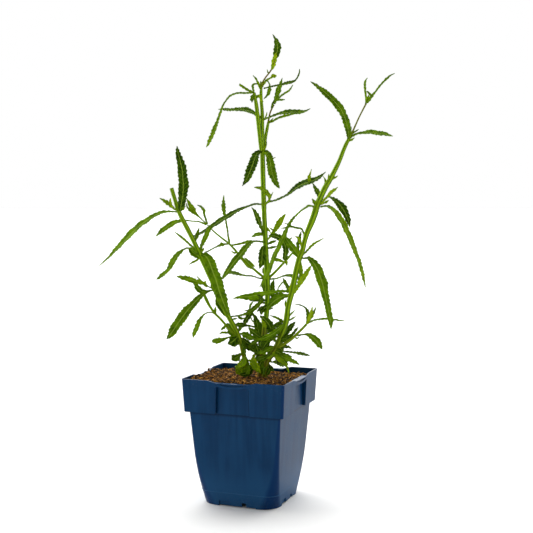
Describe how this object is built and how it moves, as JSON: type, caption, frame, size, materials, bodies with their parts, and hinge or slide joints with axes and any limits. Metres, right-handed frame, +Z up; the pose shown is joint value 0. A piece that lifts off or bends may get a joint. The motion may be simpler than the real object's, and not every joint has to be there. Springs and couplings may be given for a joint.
{
  "type": "potted verbena plant",
  "caption": "Tall verbena with opposite lance-shaped leaves on upright wiry stems, rooted in a square tapered nursery pot with a deep collar and sunk panels",
  "frame": {"origin": "Middle of the pot's base on the surface it stands on, which is also the bottom centre of the bounding box", "axes": "+Z up along the stems; X and Y square to the pot's sides, -Y towards the wider pot side that the picture shows"},
  "size_m": [0.2836, 0.1197, 0.4775],
  "materials": {
    "pot_plastic": "dark blue injection-moulded plastic, slightly satin",
    "soil": "coarse brown peat with fibres and bark chips, matt",
    "stem": "olive-green ribbed stem, purple-brown near the tips",
    "leaf": "dark green rough leaf with a paler midrib and underside"
  },
  "bodies": {
    "root": {"pot": "pot_plastic", "soil": "soil", "stem_middle": "stem", "stem_left": "stem", "stem_right": "stem", "shoot_top_left": "stem", "shoot_top_middle": "stem", "shoot_top_right": "stem", "lateral_left": "stem", "lateral_right": "stem", "shoot_low_left": "stem", "shoot_low_right": "stem", "leaf_tip": "leaf", "leaf_tip_dark": "leaf", "leaf_tip_arching": "leaf", "leaf_fork_broad": "leaf", "leaf_fork_left": "leaf", "leaf_fork_right": "leaf", "leaf_high_left": "leaf", "leaf_high_right": "leaf", "leaf_wide_left": "leaf", "leaf_wide_right": "leaf", "leaf_middle_upright": "leaf", "leaf_middle_bright": "leaf", "leaf_side_dark": "leaf", "leaf_middle_hanging": "leaf", "leaf_middle_long": "leaf", "leaf_low_left": "leaf", "leaf_low_right": "leaf", "leaf_side_upright": "leaf", "leaf_side_short": "leaf", "leaf_side_end": "leaf", "leaf_side_far": "leaf", "leaf_left_upright": "leaf", "leaf_left_arching": "leaf", "leaf_left_broad": "leaf", "leaf_left_drooping": "leaf", "leaf_left_inner": "leaf", "leaf_left_low": "leaf", "leaf_left_pointing": "leaf", "leaf_low_left_drooping": "leaf", "leaf_right_tip": "leaf", "leaf_right_curved": "leaf", "leaf_right_flat": "leaf", "leaf_right_crossing": "leaf", "leaf_right_long": "leaf", "leaf_right_dark": "leaf", "leaf_right_bright": "leaf", "leaf_right_folded": "leaf", "leaf_right_broad": "leaf", "leaf_right_small": "leaf", "leaf_right_pale": "leaf", "leaf_base_reaching": "leaf", "leaf_base_face": "leaf", "leaf_base_diagonal": "leaf", "leaf_base_round": "leaf", "leaf_base_yellow": "leaf", "leaf_base_low_right": "leaf", "leaf_low_right_hanging": "leaf", "leaf_low_right_hooked": "leaf"}
  },
  "joints": []
}
